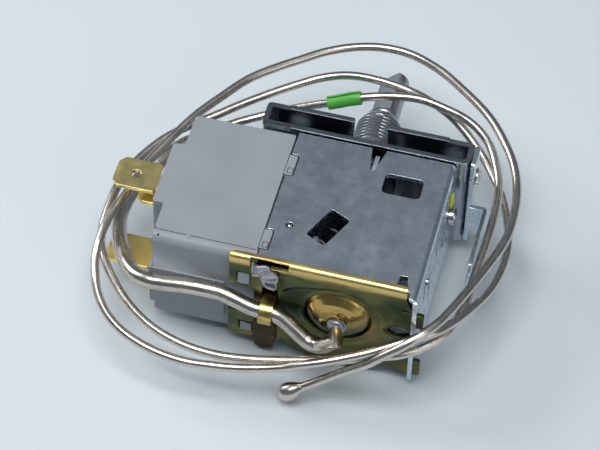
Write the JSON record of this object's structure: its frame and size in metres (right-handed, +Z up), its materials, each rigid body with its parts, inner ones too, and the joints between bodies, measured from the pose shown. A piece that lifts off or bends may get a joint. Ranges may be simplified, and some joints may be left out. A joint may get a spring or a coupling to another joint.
{
  "type": "capillary thermostat",
  "caption": "Capillary-tube refrigeration thermostat: blade terminals on a grey switch housing, steel frame, gilt sensing element, D spindle in a threaded bushing, and a coiled sensing tube.",
  "frame": {"origin": "middle of the body's footprint on the surface it lies on, without the free tube", "axes": "+Y along the spindle towards its free end, +X from the blade terminals to the frame's closed side, +Z up"},
  "size_m": [0.0697, 0.0716, 0.0242],
  "materials": {
    "grey_plastic": "fine satin moulding, light grey",
    "dark_plastic": "matte",
    "zinc_steel": "bright zinc plated, fine scratches, bluish",
    "bright_steel": "bright",
    "yellow_zinc": "yellow chromated zinc, iridescent",
    "brass": "rolled, slightly dull",
    "contact_silver": "bright",
    "spring_steel": "satin",
    "fish_paper": "matte card",
    "tube_metal": "satin, warm silver",
    "green_sleeve": "glossy",
    "lacquer": "glossy drop"
  },
  "bodies": {
    "frame": {"switch_housing": "grey_plastic", "housing_cover": "grey_plastic", "terminal_1": "brass", "terminal_2": "brass", "terminal_3": "brass", "fixed_contact": "contact_silver", "insulation_card": "fish_paper", "steel_frame": "zinc_steel", "locating_pin": "bright_steel", "element_plate": "yellow_zinc", "stem_clip": "yellow_zinc", "locking_tab": "bright_steel", "element_dome": "yellow_zinc", "element_base": "zinc_steel", "diaphragm": "spring_steel", "stem_collar": "bright_steel", "capillary_stem": "tube_metal", "capillary_tube": "tube_metal", "capillary_tip": "tube_metal", "marker_sleeve": "green_sleeve", "lever_pivot_pin": "bright_steel", "range_spring": "spring_steel", "carrier_guide_pin": "bright_steel", "lock_lacquer": "lacquer", "threaded_bushing": "zinc_steel", "mounting_bracket": "zinc_steel", "earth_terminal": "bright_steel", "earth_rivet": "bright_steel"},
    "control": {"spindle": "zinc_steel", "control_cam": "dark_plastic", "spindle_circlip": "spring_steel"},
    "carrier": {"spring_carrier": "zinc_steel"},
    "range_screw": {"range_screw": "bright_steel"},
    "differential_screw": {"differential_screw": "bright_steel"},
    "lever": {"main_lever": "zinc_steel"},
    "button": {"diaphragm_button": "bright_steel"},
    "rod": {"push_rod": "dark_plastic"},
    "contact": {"contact_arm": "spring_steel", "moving_contact": "contact_silver", "toggle_spring": "spring_steel"}
  },
  "joints": [
    {"name": "spindle_turn", "type": "hinge", "parent": "frame", "child": "control", "pos_m": [0.009, 0.0158, 0.0132], "axis": [0, 1, 0], "range_deg": [0, 270]},
    {"name": "carrier_slide", "type": "slide", "parent": "frame", "child": "carrier", "axis": [0, 0, -1], "range_m": [0, 0.001], "deforming": ["range_spring"]},
    {"name": "range_screw_turn", "type": "hinge", "parent": "carrier", "child": "range_screw", "pos_m": [0.01585, -0.0097, 0.006], "axis": [0, 0, 1], "range_deg": [-180, 180]},
    {"name": "differential_screw_turn", "type": "hinge", "parent": "frame", "child": "differential_screw", "pos_m": [0.02435, 0.0002, 0.0144], "axis": [1, 0, 0], "range_deg": [-180, 180]},
    {"name": "lever_pivot", "type": "hinge", "parent": "frame", "child": "lever", "pos_m": [0.01235, -0.0178, 0.0185], "axis": [1, 0, 0], "range_deg": [0, 4.2], "stiffness_Nm_per_rad": 0.35, "springref_deg": -1.15, "deforming": ["range_spring"]},
    {"name": "button_slide", "type": "slide", "parent": "frame", "child": "button", "axis": [0, 1, 0], "range_m": [0, 0.0004]},
    {"name": "push_rod_slide", "type": "slide", "parent": "frame", "child": "rod", "axis": [0, 1, 0], "range_m": [0, 0.0008]},
    {"name": "contact_pivot", "type": "hinge", "parent": "frame", "child": "contact", "pos_m": [-0.01845, -0.012, 0.0092], "axis": [0, 0, 1], "range_deg": [0, 3.5]}
  ],
  "couplings": [
    {"joint": "carrier_slide", "follows": "spindle_turn", "m_per_rad": 0.000212},
    {"joint": "button_slide", "follows": "lever_pivot", "m_per_rad": 0.0042},
    {"joint": "push_rod_slide", "follows": "lever_pivot", "m_per_rad": 0.0093},
    {"joint": "contact_pivot", "follows": "lever_pivot", "ratio": 0.75}
  ]
}
